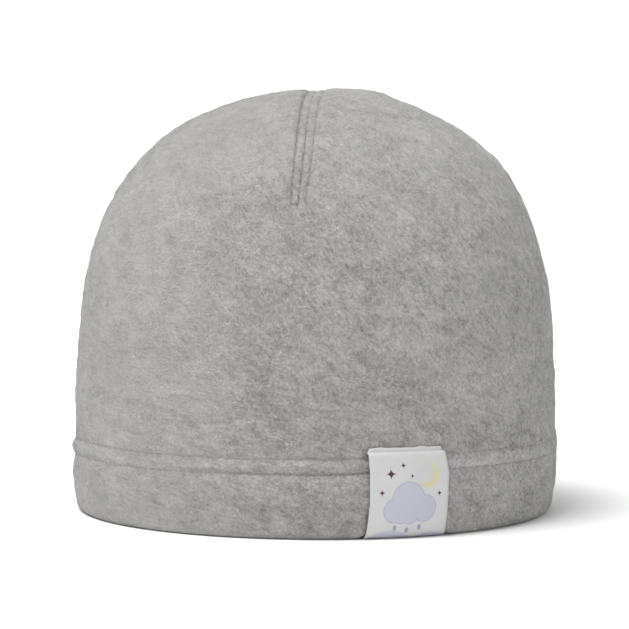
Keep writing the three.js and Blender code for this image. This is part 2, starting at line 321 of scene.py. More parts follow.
def painted_shade_and_light(turn, height):
    """Painted light and shade: how much lighter the pile's colour is made. Painted shade lies in the middle
    of the front, where the pile stands up, and on and just above the hem; painted light lies beside it,
    along the band between the hem's rows and near the rim.
    """
    # On the crown: painted shade in the middle of the front, where the pile stands up, and painted light at
    # turn 35.
    crown = (0.03 * hump(turn - 35, 11) - 0.042 * hump(turn + 1, 13)) * smooth(height, 18, 35)
    # Painted shade over the middle of the hem, below its lower row.
    hem = -0.045 * hump(turn - 6, 22) * (1 - smooth(height, 13, 17))
    # Painted shade just above the hem on the right, under the crown's overhang.
    above_hem = -0.04 * hump(turn - 32, 22) * hump(height - 29, 6)
    # Painted highlights along the swelling band between the hem's two rows.
    between_rows = 0.045 * hump(turn + 47, 24) + 0.08 * hump(turn - 3, 9) + 0.16 * hump(turn - 42, 20)
    between_rows = between_rows * hump(height - ridge_height, 2.5)
    # Painted light near the rim, as if bounced up from the floor.
    rim = (0.045 * hump(turn + 62, 34) + 0.065 * hump(turn - 82, 22)) * (1 - smooth(height, 5, 13))
    return crown * (1 - 0.8 * smooth(height, 85, 115)) + hem + above_hem + between_rows + rim


def cap_rings():
    """Stations above, at and below each ring, its depth under the outer face, and whether it is outside."""
    fine = np.linspace(0, 1, 1501)
    line = crown_station(fine)
    run = np.hypot(np.diff(line[:, 1]) * half_width, np.diff(line[:, 0]))
    length = np.concatenate([[0], np.cumsum(run)])
    rings = []

    def crown_ring(share, depth, outside):
        step = 0.004
        shares = (max(share - step, 0.0005), share, min(share + step, 1))
        rings.append((*(crown_station(one) for one in shares), depth, outside))

    def hem_ring(height, depth, outside):
        above, at, below = (hem_station(height) for _ in range(3))
        above[0], below[0] = height + 1, height - 1
        rings.append((above, at, below, depth, outside))

    def down_crown(count):
        return np.interp(np.linspace(0, 1, count + 1)[1:], length / length[-1], fine)

    # The outer face, with rings close together at the end of the dart and at the two rows of the hem.
    dart_share = float(np.interp(-dart_end, -line[:, 0], fine))
    beside_bar = dart_share + np.array((-0.9, -0.45, 0, 0.45, 0.9)) / hat_height
    for share in sorted([*down_crown(145), *beside_bar]):
        crown_ring(share, 0, True)
    at_rows = (23.3, 22.9, 22.65, 22.4, 22.15, 21.9, 21.5, 21, 20.5, 20.05, 19.6, 19.1, 18.6, 18.2,
               17.95, 17.7, 17.45, 17.2, 16.8, 16.4, 15.9)
    for height in (*at_rows, *np.linspace(at_rows[-1], rim_radius, 14)[1:]):
        hem_ring(height, 0, True)

    # Round the rim, up the inner ply of the hem and over its raw edge.
    rim_angles = np.radians((22, 45, 68, 90))
    for angle in rim_angles:
        hem_ring(rim_radius * (1 - math.sin(angle)), rim_radius * (1 - math.cos(angle)), False)
    for angle in rim_angles[::-1]:
        hem_ring(rim_radius * (1 - math.sin(angle)), fold - rim_radius * (1 - math.cos(angle)), False)
    for height in np.linspace(rim_radius, raw_edge - 0.6, 18):
        swell = float(hem_relief(height, 0.0)) * (height > lower_row - 2)
        hem_ring(height, fold + 0.3 * swell, False)
    for depth in (fold - 0.35, fold - cloth / 2, cloth + ply_gap + 0.35):
        hem_ring(raw_edge - 0.15 * abs(depth - fold + cloth / 2), depth, False)

    # Down into the gap between the plies, up again and over the inside of the crown.
    for height in (raw_edge - 1.0, raw_edge / 2, cloth + 1):
        hem_ring(height, cloth + ply_gap, False)
    for height in (cloth + 1, raw_edge / 2):
        hem_ring(height, cloth, False)
    for share in down_crown(46)[::-1]:
        crown_ring(share, cloth, False)
    return rings


def cap_points(rings, turns):
    """Where every ring and column of the cap goes, in millimetres, how deep it lies in a row of stitches,
    and whether it is on the seam's band."""
    above, at, below = (np.array([ring[i] for ring in rings]) for i in range(3))
    depth = np.array([ring[3] for ring in rings])[:, None]
    outside = np.array([ring[4] for ring in rings])[:, None]
    plain = plain_points(at, turns)
    round_way = plain_points(below, turns + 0.5) - plain_points(below, turns - 0.5)
    normal = np.cross(round_way, plain_points(above, turns) - plain_points(below, turns))
    normal /= np.linalg.norm(normal, axis=-1, keepdims=True)
    height = plain[..., 2]
    waves, clumps = unevenness(plain)
    free = smooth(height, 0, 6)
    out = waves * free - dents_at(facing(turns), height)
    relief = hem_relief(height, turns) * (height < crown_foot + 3) + seam_relief(plain) + clumps * free
    out = out + np.where(outside, relief, -depth - allowance(plain) * (depth < fold))
    points = plain + normal * out[..., None]
    from_label = np.abs(facing(turns - label_turn)) * np.radians(half_depth)
    lift = 1 - smooth(from_label, label_width / 2, label_width / 2 + lift_fade)
    points[..., 2] += label_lift * lift * np.maximum(0, 1 - height / hem_height)
    beside = hump(from_label - label_width / 2 - 0.6, 1.2) * smooth(height, 0, 4)
    points -= normal * (0.5 * beside * (height < hem_height + 2) * outside)[..., None]
    points[..., 0] += seam_drift(points)
    points[..., 2] += outside * hem_drift(height, turns)
    rows = outside * (seam_rows(plain) + hem_rows(height, turns))
    band = outside * seam_share(plain) * (1 - smooth(seam_away(plain), 2.2, 2.6))
    return points, rows, band


def seam_drift(points):
    """The dart isn't quite straight: its middle stands a little to the right of its ends."""
    beside = hump(points[..., 0] - crown_lean, 14) * (points[..., 1] < 0)
    return 0.5 * beside * hump(points[..., 2] - 108, 9)


columns = 352
rings = cap_rings()
turns = column_turns(np.array([ring[1] for ring in rings]), columns)
placed, placed_rows, placed_band = cap_points(rings, turns)
placed = placed * MM

# A line with one point for each ring is spun round, and each point then goes to its place on the cap.
bm = bmesh.new()
line = [bm.verts.new((0, 0, -1))]
line += [bm.verts.new((0, -1, ring)) for ring in range(len(rings))]
line.append(bm.verts.new((0, 0, len(rings))))
edges = [bm.edges.new(pair) for pair in zip(line, line[1:])]
bmesh.ops.spin(bm, geom=line + edges, cent=(0, 0, 0), axis=(0, 0, 1), angle=2 * math.pi, steps=columns,
               use_merge=True)
bmesh.ops.remove_doubles(bm, verts=bm.verts, dist=1e-4)
rows_layer = bm.verts.layers.float.new("stitched_row")
band_layer = bm.verts.layers.float.new("seam_band")
for vert in bm.verts:
    ring = round(vert.co.z)
    if 0 <= ring < len(rings):
        column = round(math.atan2(vert.co.x, -vert.co.y) / (2 * math.pi) * columns) % columns
        vert.co = placed[ring, column]
        vert[rows_layer] = placed_rows[ring, column]
        vert[band_layer] = placed_band[ring, column]
    else:
        near = placed[0] if ring < 0 else placed[-1]
        vert.co = near.mean(0)
bmesh.ops.recalc_face_normals(bm, faces=bm.faces)
for face in bm.faces:
    face.smooth = True
cap_tree = BVHTree.FromBMesh(bm)
cap_mesh = bpy.data.meshes.new("fleece_cap")
bm.to_mesh(cap_mesh)
bm.free()
at = np.array([vert.co for vert in cap_mesh.vertices]) / MM
turn = np.degrees(np.arctan2(at[:, 0], -at[:, 1]))
# The last attribute holds painted light and shade for the colour of the cloth.
for name, pattern in (("tufted_pile", tufted), ("pile_lean", pile_lean), ("painted_shade_and_light", painted_shade_and_light)):
    cap_mesh.attributes.new(name, "FLOAT", "POINT").data.foreach_set("value", pattern(turn, at[:, 2]))
fleece_cap = bpy.data.objects.new("fleece_cap", cap_mesh)
bpy.context.collection.objects.link(fleece_cap)


def new_material(name):
    material = bpy.data.materials.new(name)
    material.use_nodes = True
    return material, material.node_tree, material.node_tree.nodes["Principled BSDF"]


def linear(red, green, blue):
    """A colour picked on screen, from 0 to 255, as the linear values that a shader takes."""
    shares = [value / 255 for value in (red, green, blue)]
    return tuple(s / 12.92 if s < 0.04 else ((s + 0.055) / 1.055) ** 2.4 for s in shares) + (1,)


def place_noise(tree, place, size, detail=2.0, rough=0.5, distortion=0.0,
                stretch=(1, 1, 1), turned=(0, 0, 0)):
    """A noise on object coordinates whose grains measure size in millimetres, stretched and then turned."""
    mapping = tree.nodes.new("ShaderNodeMapping")
    mapping.vector_type = "TEXTURE"
    mapping.inputs["Rotation"].default_value = [math.radians(angle) for angle in turned]
    mapping.inputs["Scale"].default_value = stretch
    tree.links.new(place, mapping.inputs["Vector"])
    texture = tree.nodes.new("ShaderNodeTexNoise")
    texture.inputs["Scale"].default_value = 1 / (size * MM)
    texture.inputs["Detail"].default_value = detail
    texture.inputs["Roughness"].default_value = rough
    texture.inputs["Distortion"].default_value = distortion
    tree.links.new(mapping.outputs["Vector"], texture.inputs["Vector"])
    return texture.outputs["Fac"]


def mixed(tree, parts):
    """The sum of several noises around a half, each with its weight."""
    total = None
    for value, weight in parts:
        scaled = tree.nodes.new("ShaderNodeMath")
        scaled.operation = "MULTIPLY_ADD"
        tree.links.new(value, scaled.inputs[0])
        scaled.inputs[1].default_value = weight
        scaled.inputs[2].default_value = -weight / 2 + (0.5 if total is None else 0)
        if total is None:
            total = scaled.outputs[0]
            continue
        added = tree.nodes.new("ShaderNodeMath")
        tree.links.new(total, added.inputs[0])
        tree.links.new(scaled.outputs[0], added.inputs[1])
        total = added.outputs[0]
    return total


def math_node(tree, operation, *values):
    node = tree.nodes.new("ShaderNodeMath")
    node.operation = operation
    for socket, value in zip(node.inputs, values):
        if isinstance(value, (int, float)):
            socket.default_value = value
        else:
            tree.links.new(value, socket)
    return node.outputs[0]


def attribute(tree, name):
    node = tree.nodes.new("ShaderNodeAttribute")
    node.attribute_name = name
    return node.outputs["Fac"]


# The fleece is brushed from light and dark grey fibres: grains of both colours, clumps and faint streaks.
# Along the rows of stitches the colour is darker: the needle holes, and painted shade in the grooves where
# the pile is pressed flat. Painted light and shade of the cap are added as well.
fleece, tree, shader = new_material("grey_melange_fleece")
place = tree.nodes.new("ShaderNodeTexCoord").outputs["Object"]
grain = place_noise(tree, place, 0.8, detail=4, rough=0.65, distortion=0.5)
clump = place_noise(tree, place, 3.6, detail=4, rough=0.8, distortion=0.6,
                    stretch=(1.6, 1.6, 1), turned=(0, 25, 0))
level_streak = place_noise(tree, place, 0.8, detail=3, stretch=(5, 5, 1), turned=(0, 10, 0))
steep_streak = place_noise(tree, place, 0.8, detail=3, stretch=(2.5, 2.5, 1), turned=(0, 52, 0))
steeper = math_node(tree, "SUBTRACT", steep_streak, level_streak)
streak = math_node(tree, "MULTIPLY_ADD", steeper, attribute(tree, "pile_lean"), level_streak)
cloud = place_noise(tree, place, 16, detail=2)
roughness = attribute(tree, "tufted_pile")
grains = math_node(tree, "MULTIPLY", math_node(tree, "SUBTRACT", grain, 0.5), roughness)
melange = math_node(tree, "SUBTRACT", mixed(tree, [(clump, 0.75), (streak, 0.5), (cloud, 0.3)]), 0.5)
melange = math_node(tree, "MULTIPLY", melange, math_node(tree, "MULTIPLY_ADD", roughness, 0.55, 0.45))
# The cap's painted light and shade make the colour lighter or darker here.
tone = math_node(tree, "ADD", attribute(tree, "painted_shade_and_light"), 0.5)
colour_mix = math_node(tree, "MULTIPLY_ADD", grains, 0.75, math_node(tree, "ADD", melange, tone))
# The rows of stitches are painted darker: dark needle holes in dots, and painted shade along the grooves.
dots = math_node(tree, "MULTIPLY_ADD", place_noise(tree, place, 0.6, detail=1), 3.0, -1.0)
dots = math_node(tree, "MAXIMUM", dots, 0.1)
row = math_node(tree, "POWER", attribute(tree, "stitched_row"), 1.6)
row_shade_and_holes = math_node(tree, "MULTIPLY", math_node(tree, "MULTIPLY", row, dots), 0.55)
ramp = tree.nodes.new("ShaderNodeValToRGB")
ramp.color_ramp.elements[0].position = 0.2
ramp.color_ramp.elements[0].color = linear(128, 127, 126)
ramp.color_ramp.elements[1].position = 0.8
ramp.color_ramp.elements[1].color = linear(194, 193, 191)
tree.links.new(math_node(tree, "SUBTRACT", colour_mix, row_shade_and_holes), ramp.inputs["Fac"])
tree.links.new(ramp.outputs["Color"], shader.inputs["Base Color"])
bump = tree.nodes.new("ShaderNodeBump")
bump.inputs["Strength"].default_value = 1.0
bump.inputs["Distance"].default_value = 0.8 * MM
fuzz = place_noise(tree, place, 0.45, detail=3, rough=0.65)
ribs = place_noise(tree, place, 0.55, detail=1, stretch=(5, 1, 1))
ribs = math_node(tree, "MULTIPLY", ribs, attribute(tree, "seam_band"))
height = mixed(tree, [(grain, 0.8), (clump, 0.6), (fuzz, 0.7)])
tree.links.new(math_node(tree, "MULTIPLY_ADD", ribs, 0.6, height), bump.inputs["Height"])
tree.links.new(bump.outputs["Normal"], shader.inputs["Normal"])
shader.inputs["Roughness"].default_value = 0.95
shader.inputs["Specular IOR Level"].default_value = 0.15
shader.inputs["Sheen Weight"].default_value = 0.25
shader.inputs["Sheen Roughness"].default_value = 0.5
fleece_cap.data.materials.append(fleece)

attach(fleece_cap, "root")
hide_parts("crown_and_hem")


# Nap
# The fleece is brushed on both faces. Short fibres, some light and some dark, lie over on the cloth in
# soft swirls, bridge the rows of stitches and blur the outline of the hat.


def flow_angle(turn, points):
    """Which way the pile lies, in degrees down from level, in swirls that grow wilder on the right."""
    swirl = np.array([noise.noise(Vector(point) / 14) for point in points])
    return 10 + 44 * pile_lean(turn, points[:, 2]) + marked(turn, swirl_round) * swirl


def grow_nap(name, first, last, doublings, seed):
    """Fibres on the free side of the cloth, over the rings from first to last."""
    random = np.random.default_rng(seed)
    count = 2 ** doublings
    grid = np.concatenate([placed, placed[:, :1]], 1)[first:last] / MM
    down, across = grid[1:, :-1] - grid[:-1, :-1], grid[:-1, 1:] - grid[:-1, :-1]
    area = np.linalg.norm(np.cross(down, across), axis=-1).ravel()
    picked = random.choice(area.size, size=count, p=area / area.sum())
    ring, column = np.divmod(picked, columns)
    u, v = random.random((2, count, 1))
    above, above_next = grid[ring, column], grid[ring, column + 1]
    below, below_next = grid[ring + 1, column], grid[ring + 1, column + 1]
    root = (above * (1 - u) + above_next * u) * (1 - v) + (below * (1 - u) + below_next * u) * v
    level = above_next - above
    level /= np.linalg.norm(level, axis=-1, keepdims=True)
    out = np.cross(level, above - below)
    out /= np.linalg.norm(out, axis=-1, keepdims=True)
    fall = np.cross(level, out)
    turn = np.degrees(np.arctan2(root[:, 0], -root[:, 1]))
    lean = pile_lean(turn, root[:, 2])
    angle = np.radians(flow_angle(turn, root) + random.normal(0, 1, count) * (16 + 14 * lean))[:, None]
    along = level * np.cos(angle) + fall * np.sin(angle)
    aside = np.cross(out, along)
    length = random.uniform(0.9, 1.9, (count, 1))
    lift = random.uniform(0.08, 0.42, (count, 1))
    width = random.uniform(0.05, 0.085, (count, 1))
    # Fibres under the label and the rim are made too short to see.
    from_label = np.abs(facing(turn - label_turn)) * np.radians(half_depth)
    label_top = 26 if first == 0 else 20
    hidden = ((from_label < label_width / 2 + 1) & (root[:, 2] < label_top)) | (root[:, 2] < 1.0)
    length[hidden] *= 0.02
    width[hidden] *= 0.02
    root = root - 0.1 * out
    tip = root + along * length + out * lift
    tip[:, 2] = np.maximum(tip[:, 2], 0.05)

    # One triangle is doubled until there are enough, and each then goes to its place.
    bm = bmesh.new()
    bmesh.ops.create_circle(bm, cap_ends=True, segments=3, radius=MM)
    for _ in range(doublings):
        bmesh.ops.duplicate(bm, geom=bm.verts[:] + bm.edges[:] + bm.faces[:])
    mesh = bpy.data.meshes.new(name)
    bm.to_mesh(mesh)
    bm.free()
    corners = np.empty(count * 3, dtype=np.int32)
    mesh.loops.foreach_get("vertex_index", corners)
    corners = corners.reshape(-1, 3)
    position = np.empty((count * 3, 3), dtype=np.float32)
    for index, part in enumerate((root + aside * width, root - aside * width, tip)):
        position[corners[:, index]] = part * MM
    mesh.vertices.foreach_set("co", position.ravel())
    shade = np.empty(count * 3, dtype=np.float32)
    rough = tufted(turn, root[:, 2])
    clumps = (0.45 + 0.55 * rough) * (0.6 * swept(root, 2.1, lean) + 0.38 * swept(root, 5.4, lean))
    fine = random.normal(0, 0.13, count) + 0.52 * swept(root, 1.0, lean)
    # Each fibre's tone takes the cap's painted light and shade, as well as its own light and dark grains
    # and clumps.
    tone = np.clip(0.5 + painted_shade_and_light(turn, root[:, 2]) + rough * fine + clumps, 0, 1)
    for index in range(3):
        shade[corners[:, index]] = tone
    mesh.attributes.new("fibre_tone", "FLOAT", "POINT").data.foreach_set("value", shade)
    mesh.update()
    nap = bpy.data.objects.new(name, mesh)
    bpy.context.collection.objects.link(nap)
    nap.data.materials.append(fibres)
    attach(nap, "root")
    return nap


fibres, tree, shader = new_material("brushed_fibres")
ramp = tree.nodes.new("ShaderNodeValToRGB")
ramp.color_ramp.elements[0].color = linear(102, 101, 100)
ramp.color_ramp.elements[1].color = linear(218, 217, 215)
tree.links.new(attribute(tree, "fibre_tone"), ramp.inputs["Fac"])
tree.links.new(ramp.outputs["Color"], shader.inputs["Base Color"])
shader.inputs["Roughness"].default_value = 0.9
shader.inputs["Specular IOR Level"].default_value = 0.15
shader.inputs["Sheen Weight"].default_value = 0.25

rim_ring = next(index for index, ring in enumerate(rings) if not ring[4])
naps = [
    grow_nap("outer_nap", 0, rim_ring + 2, 17, 11),
    grow_nap("hem_nap", rim_ring + 5, rim_ring + 26, 14, 12),
    grow_nap("lining_nap", len(rings) - 45, len(rings), 16, 13),
]


# Stitches
# Grey polyester thread. The twin needle leaves two rows of straight stitches in the hem and along the
# seam, sunk into the pile, and a bar of thread closes the lower end of the dart. Inside, the looper thread
# crosses from row to row in a zigzag.

stitch_pitch = 2.8
stitch_length = 2.35
thread_width = 0.36
loop_width = 0.4
stitch_depth = 0.1
loop_rise = 0.08
far_out = 200
head_middle = 45


def on_cap(origin, direction):
    """The point of the cap that a ray meets, and the cloth's outward direction there, in millimetres."""
    hit, normal, _, _ = cap_tree.ray_cast(Vector(origin) * MM, Vector(direction).normalized())
    return hit / MM, normal


def hem_line(height):
    """Points round the hem at a height, in the bottom of the groove that the needle makes."""
    points = []
    for turn in np.linspace(0, 360, 721):
        x, y = math.sin(math.radians(turn)), -math.cos(math.radians(turn))
        risen = height + float(hem_drift(height, turn))
        points.append(on_cap((far_out * x, far_out * y, risen), (-x, -y, 0)))
    return points


def seam_line(side):
    """Points along a row of the seam, from the end of the dart over the top and down the back. Each is
    looked for three times, because the row's place depends on its height."""
    points = []
    for angle in np.radians(np.arange(20, 180 + 27.5, 0.5)):
        y, z = -math.cos(angle), math.sin(angle)
        height = 110.0
        for _ in range(3):
            here = np.array([crown_lean, y, height])
            offset = side * needle_gap / 2 * (float(seam_spread(height)) if y < 0 else 1)
            aim = float(lean_at(height)) + offset + float(seam_drift(here))
            point = on_cap((aim, far_out * y, head_middle + far_out * z), (0, -y, -z))
            height = point[0].z
        if y > 0 or height > dart_end:
            points.append(point)
    return points


def run_along(path):
    """How far along a path each of its points is."""
    steps = np.linalg.norm(np.diff(path, axis=0), axis=1)
    return np.concatenate([[0], np.cumsum(steps)])


def point_at(distance, run, path):
    return Vector([np.interp(distance, run, path[:, axis]) for axis in range(3)])


def lay_spindle(bm, middle, along, out, length, width, sunk):
    """A spindle of thread that lies on the cloth. out points away from the cloth."""
    up = (out - along * out.dot(along)).normalized()
    turned = Matrix((along, up.cross(along), up)).transposed().to_4x4()
    scale = Matrix.Diagonal((length / 2, width / 2, width / 2, 1))
    place = Matrix.Translation((middle - up * sunk) * MM) @ turned @ scale
    place = place @ Matrix.Rotation(math.pi / 2, 4, "Y")
    bmesh.ops.create_uvsphere(bm, u_segments=6, v_segments=6, radius=MM, matrix=place)


def lay_stitches(bm, points, pitch, length, sunk):
    """A row of stitches along the points."""
    path = np.array([point for point, _ in points])
    run = run_along(path)
    count = max(1, int(run[-1] / pitch))
    for distance in (np.arange(count) + 0.5) * run[-1] / count:
        at = int(np.clip(np.searchsorted(run, distance), 1, len(path) - 1))
        along = Vector(path[at] - path[at - 1]).normalized()
        lay_spindle(bm, point_at(distance, run, path), along, points[at][1], length, thread_width, sunk)


def finish_thread(bm, name):
    for face in bm.faces:
        face.smooth = True
    mesh = bpy.data.meshes.new(name)
    bm.to_mesh(mesh)
    bm.free()
    piece = bpy.data.objects.new(name, mesh)
    bpy.context.collection.objects.link(piece)
    piece.data.materials.append(thread)
    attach(piece, "root")
    return piece


thread, tree, shader = new_material("grey_polyester_thread")
twist = place_noise(tree, tree.nodes.new("ShaderNodeTexCoord").outputs["Object"], 0.25, detail=1)
ramp = tree.nodes.new("ShaderNodeValToRGB")
ramp.color_ramp.elements[0].color = linear(128, 128, 126)
ramp.color_ramp.elements[1].color = linear(164, 163, 161)
tree.links.new(twist, ramp.inputs["Fac"])
tree.links.new(ramp.outputs["Color"], shader.inputs["Base Color"])
shader.inputs["Roughness"].default_value = 0.6
shader.inputs["Sheen Weight"].default_value = 0.15


def lay_loops(bm, first_row, second_row, pitch):
    """Spindles of thread that cross between two rows of points, up and down in turn."""
    paths = [np.array([point for point, _ in row]) for row in (first_row, second_row)]
    run = run_along(paths[0])
    count = 2 * int(run[-1] / pitch)
    for step in range(count):
        near, far = np.array((step, step + 1)) * run[-1] / count
        begin = point_at(near, run, paths[step % 2])
        finish = point_at(far, run, paths[(step + 1) % 2])
        along = (finish - begin).normalized()
        out = first_row[min(np.searchsorted(run, near), len(run) - 1)][1]
        length = (finish - begin).length + 0.2
        lay_spindle(bm, (begin + finish) / 2, along, out, length, loop_width, -loop_rise)


def inside_hem_line(height):
    turns_round = np.radians(np.linspace(0, 360, 721))
    return [on_cap((0, 0, height), (math.sin(turn), -math.cos(turn), 0)) for turn in turns_round]


def inside_seam_line(side):
    """Points along the seam's allowance, from the dart over the top and down to the raw edge of the hem."""
    points = []
    for angle in np.radians(np.arange(35, 180 + 12, 0.5)):
        start = (crown_lean + side * needle_gap / 2, 0, head_middle)
        points.append(on_cap(start, (0, -math.cos(angle), math.sin(angle))))
    return [point for point in points if point[0].y > 0 or point[0].z > dart_end]


seam_lines = {side: seam_line(side) for side in (-1, 0, 1)}
rows_of_stitches = {
    "hem_stitches_upper": hem_line(hem_height),
    "hem_stitches_lower": hem_line(lower_row),
    "seam_stitches_left": seam_lines[-1],
    "seam_stitches_right": seam_lines[1],
}
for name, points in rows_of_stitches.items():
    bm = bmesh.new()
    lay_stitches(bm, points, stitch_pitch, stitch_length, stitch_depth)
    finish_thread(bm, name)

bm = bmesh.new()
lay_stitches(bm, [seam_lines[-1][0], seam_lines[0][0]], 1.0, 1.6, 0.0)
finish_thread(bm, "dart_end_bar")

loops = {
    "hem_loops": (inside_hem_line(lower_row), inside_hem_line(hem_height)),
    "seam_loops": (inside_seam_line(-1), inside_seam_line(1)),
}
for name, (first_row, second_row) in loops.items():
    bm = bmesh.new()
    lay_loops(bm, first_row, second_row, stitch_pitch)
    finish_thread(bm, name)


# Ribbon label
# A satin ribbon, folded round the rim and sewn through the hem. Its upper end is folded under and shows
# as a narrow strip above its face. It carries a small print of a moon, a cloud with drops, stars and hills.

ribbon_thickness = 0.35
label_course = (
    # How far each point stands out from the plain cloth, and its height above the floor.
    (0.5, 25.45), (0.55, 24.7), (0.6, 24.1), (0.95, 23.85), (1.35, 24.05), (1.65, 23.8), (1.78, 23.0),
    (1.85, 20.5), (1.85, 17.0), (1.8, 13.0), (1.7, 9.0), (1.45, 5.5), (1.1, 3.2), (0.6, 1.6), (-0.3, 0.6),
    (-1.6, 0.28), (-3.2, 0.28), (-4.5, 0.6), (-5.35, 1.7), (-5.7, 3.6), (-5.75, 9.0), (-5.75, 14.0),
    (-5.7, 18.0),
)
label_edges = {
    # along: share of the way down the face. left and right: how far each edge is out of its straight line.
    "along": (0.0, 0.05, 0.3, 0.6, 0.85, 1.0),
    "left": (-0.6, 0.1, -0.5, -0.6, -0.1, 0.4),
    "right": (-2.7, -2.3, -0.7, -0.75, -0.85, -0.3),
}


def course_points(count):
    """The ribbon's course as evenly spaced points on a smooth curve, and how far along it each one is."""
    rows = np.array(label_course)
    padded = np.vstack([2 * rows[0] - rows[1], rows, 2 * rows[-1] - rows[-2]])
    curve = spline(padded, np.linspace(0, len(rows) - 1, 900))
    run = run_along(curve)
    even = np.linspace(0, run[-1], count)
    return np.stack([np.interp(even, run, curve[:, axis]) for axis in range(2)], -1), even


label_across, label_down = 30, 130
course, course_run = course_points(label_down + 1)
face_length = course_run[np.argmax(course[:, 1] < 0.4)]
label_reach = math.hypot(half_width * math.cos(math.radians(label_turn)),
                         half_depth * math.sin(math.radians(label_turn)))
bm = bmesh.new()
bmesh.ops.create_grid(bm, x_segments=label_across, y_segments=label_down, size=1, calc_uvs=True)
label_uv = bm.loops.layers.uv.verify()
for face in bm.faces:
    for loop in face.loops:
        row = round((1 - loop.vert.co.y) / 2 * label_down)
        loop[label_uv].uv = ((loop.vert.co.x + 1) / 2, course_run[row] / label_width)
for vert in bm.verts:
    across = vert.co.x / 2
    row = round((1 - vert.co.y) / 2 * label_down)
    stand, height = course[row]
    height += 0.4 * noise.noise(Vector((across * 7, 0, 4))) * max(0, 1 - course_run[row] / 1.3)
    along = min(course_run[row] / face_length, 1)
    left = np.interp(along, label_edges["along"], label_edges["left"])
    right = np.interp(along, label_edges["along"], label_edges["right"])
    aside = across * label_width + (right * (0.5 + across) - left * (0.5 - across))
    ripple = 0.22 * math.sin(7 * across + 2.5 * along) * math.sin(math.pi * min(along * 1.1, 1))
    turn = label_turn + math.degrees(aside / label_reach)
    foot, ahead = plain_points(hem_station(height)[None], np.array([[turn, turn + 0.5]]))[0]
    beside = Vector((ahead - foot)[:2]).normalized()
    outward = Vector((beside.y, -beside.x, 0))
    vert.co = (Vector(foot) + outward * (stand + ripple)) * MM
bmesh.ops.recalc_face_normals(bm, faces=bm.faces)
label_mesh = bpy.data.meshes.new("ribbon_label")
bm.to_mesh(label_mesh)
bm.free()
ribbon_label = bpy.data.objects.new("ribbon_label", label_mesh)
bpy.context.collection.objects.link(ribbon_label)
for face in ribbon_label.data.polygons:
    face.use_smooth = True
wall = ribbon_label.modifiers.new("ribbon thickness", "SOLIDIFY")
wall.thickness = ribbon_thickness * MM
wall.offset = 0


def soft_edge(tree, value, outside, inside):
    """0 where the value is as far as outside, 1 where it is as far as inside, and a ramp between them."""
    node = tree.nodes.new("ShaderNodeMapRange")
    node.inputs["From Min"].default_value = outside
    node.inputs["From Max"].default_value = inside
    tree.links.new(value, node.inputs["Value"])
    return node.outputs["Result"]


def disc(tree, x, y, centre, radius, tall=1.0):
    """1 inside a printed disc and 0 outside it, with a soft edge. tall makes it that much higher."""
    across = math_node(tree, "SUBTRACT", x, centre[0])
    down = math_node(tree, "MULTIPLY", math_node(tree, "SUBTRACT", y, centre[1]), 1 / tall)
    squares = math_node(tree, "ADD", math_node(tree, "POWER", math_node(tree, "ABSOLUTE", across), 2),
                        math_node(tree, "POWER", math_node(tree, "ABSOLUTE", down), 2))
    inside = math_node(tree, "SUBTRACT", radius, math_node(tree, "SQRT", squares))
    return soft_edge(tree, inside, -0.08, 0.08)


def star(tree, x, y, centre, size):
    """A small printed star with four points."""
    across = math_node(tree, "ABSOLUTE", math_node(tree, "SUBTRACT", x, centre[0]))
    down = math_node(tree, "ABSOLUTE", math_node(tree, "SUBTRACT", y, centre[1]))
    curve = math_node(tree, "ADD", math_node(tree, "SQRT", across), math_node(tree, "SQRT", down))
    return soft_edge(tree, curve, math.sqrt(size) * 1.06, math.sqrt(size) * 0.94)


def printed(tree, ground, mask, colour):
    mix = tree.nodes.new("ShaderNodeMix")
    mix.data_type = "RGBA"
    tree.links.new(mask, mix.inputs["Factor"])
    tree.links.new(ground, mix.inputs["A"])
    mix.inputs["B"].default_value = colour
    return mix.outputs["Result"]


def either(tree, masks):
    total = masks[0]
    for mask in masks[1:]:
        total = math_node(tree, "MAXIMUM", total, mask)
    return total


satin, tree, shader = new_material("printed_satin_ribbon")
uv = tree.nodes.new("ShaderNodeSeparateXYZ")
uv_map = tree.nodes.new("ShaderNodeUVMap")
uv_map.uv_map = ribbon_label.data.uv_layers[0].name
tree.links.new(uv_map.outputs["UV"], uv.inputs["Vector"])
x = math_node(tree, "MULTIPLY", math_node(tree, "SUBTRACT", uv.outputs["X"], 0.5), label_width)
y = math_node(tree, "MULTIPLY", uv.outputs["Y"], label_width)
ramp = tree.nodes.new("ShaderNodeValToRGB")
ramp.color_ramp.elements[0].color = linear(194, 194, 194)
ramp.color_ramp.elements[1].color = linear(204, 204, 204)
satin_place = tree.nodes.new("ShaderNodeTexCoord").outputs["Object"]
tree.links.new(place_noise(tree, satin_place, 3, detail=2, stretch=(3, 3, 1)), ramp.inputs["Fac"])
ground = ramp.outputs["Color"]

# The print, in millimetres. x counts from the middle of the ribbon to the right, and y down from its
# upper end.
hills = [((-5.5, 34.5), 10.5), ((7.5, 33.5), 8.6)]
cloud = [((-4.7, 18.4), 3.3), ((-0.7, 15.6), 4.9), ((4.5, 18.0), 3.6), ((0.1, 19.7), 2.4),
         ((-2.7, 19.6), 2.4)]
cloud_rim = [(centre, radius + 0.3) for centre, radius in cloud]
for discs, colour in ((hills, (182, 182, 193)), (cloud_rim, (170, 170, 183)), (cloud, (184, 184, 197))):
    shape = either(tree, [disc(tree, x, y, centre, radius) for centre, radius in discs])
    ground = printed(tree, ground, shape, linear(*colour))
moon = math_node(tree, "SUBTRACT", disc(tree, x, y, (5.2, 8.6), 3.7), disc(tree, x, y, (3.6, 7.8), 3.1))
ground = printed(tree, ground, math_node(tree, "MAXIMUM", moon, 0), linear(204, 200, 166))
stars = [((-6.2, 8.2), 1.9), ((-2.2, 5.9), 1.1), ((-8.9, 13.4), 1.2), ((9.3, 14.0), 1.1), ((0.2, 8.9), 0.8)]
